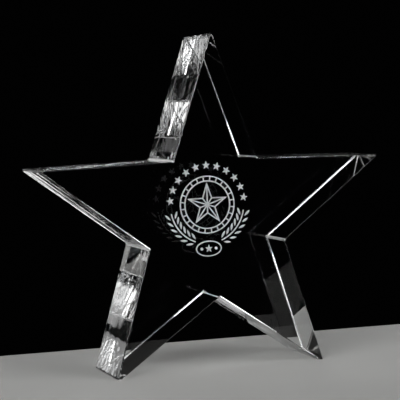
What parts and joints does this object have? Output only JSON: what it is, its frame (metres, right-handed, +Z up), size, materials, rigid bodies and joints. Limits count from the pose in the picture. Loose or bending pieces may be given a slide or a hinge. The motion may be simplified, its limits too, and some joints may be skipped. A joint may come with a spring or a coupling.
{
  "type": "star trophy",
  "caption": "Free-standing five-point star award cut from thick clear crystal, on two ground points, with a laser-engraved award emblem inside the block.",
  "frame": {"origin": "on the surface the trophy stands on, under the middle of the block", "axes": "+X to the right seen from the front, +Y through the thickness towards the back, +Z up to the top point"},
  "size_m": [0.178, 0.04, 0.1683],
  "materials": {
    "crystal": "polished optical crystal, clear and colourless",
    "engraving": "white frosted laser marks of fractured glass"
  },
  "bodies": {
    "root": {"crystal_star": "crystal", "medallion_border": "engraving", "medallion_star": "engraving", "honour_star_1": "engraving", "honour_star_2": "engraving", "honour_star_3": "engraving", "honour_star_4": "engraving", "honour_star_5": "engraving", "honour_star_6": "engraving", "honour_star_7": "engraving", "honour_star_8": "engraving", "honour_star_9": "engraving", "honour_star_10": "engraving", "honour_star_11": "engraving", "laurel_left_stem": "engraving", "laurel_left_leaf_1": "engraving", "laurel_left_leaf_2": "engraving", "laurel_left_leaf_3": "engraving", "laurel_left_leaf_4": "engraving", "laurel_left_leaf_5": "engraving", "laurel_left_leaf_6": "engraving", "laurel_left_leaf_7": "engraving", "laurel_left_leaf_8": "engraving", "laurel_left_leaf_9": "engraving", "laurel_left_leaf_10": "engraving", "laurel_left_leaf_11": "engraving", "laurel_left_leaf_12": "engraving", "laurel_right_stem": "engraving", "laurel_right_leaf_1": "engraving", "laurel_right_leaf_2": "engraving", "laurel_right_leaf_3": "engraving", "laurel_right_leaf_4": "engraving", "laurel_right_leaf_5": "engraving", "laurel_right_leaf_6": "engraving", "laurel_right_leaf_7": "engraving", "laurel_right_leaf_8": "engraving", "laurel_right_leaf_9": "engraving", "laurel_right_leaf_10": "engraving", "laurel_right_leaf_11": "engraving", "laurel_right_leaf_12": "engraving", "cartouche_ring": "engraving", "cartouche_star": "engraving", "cartouche_dot_left": "engraving", "cartouche_dot_right": "engraving"}
  },
  "joints": []
}
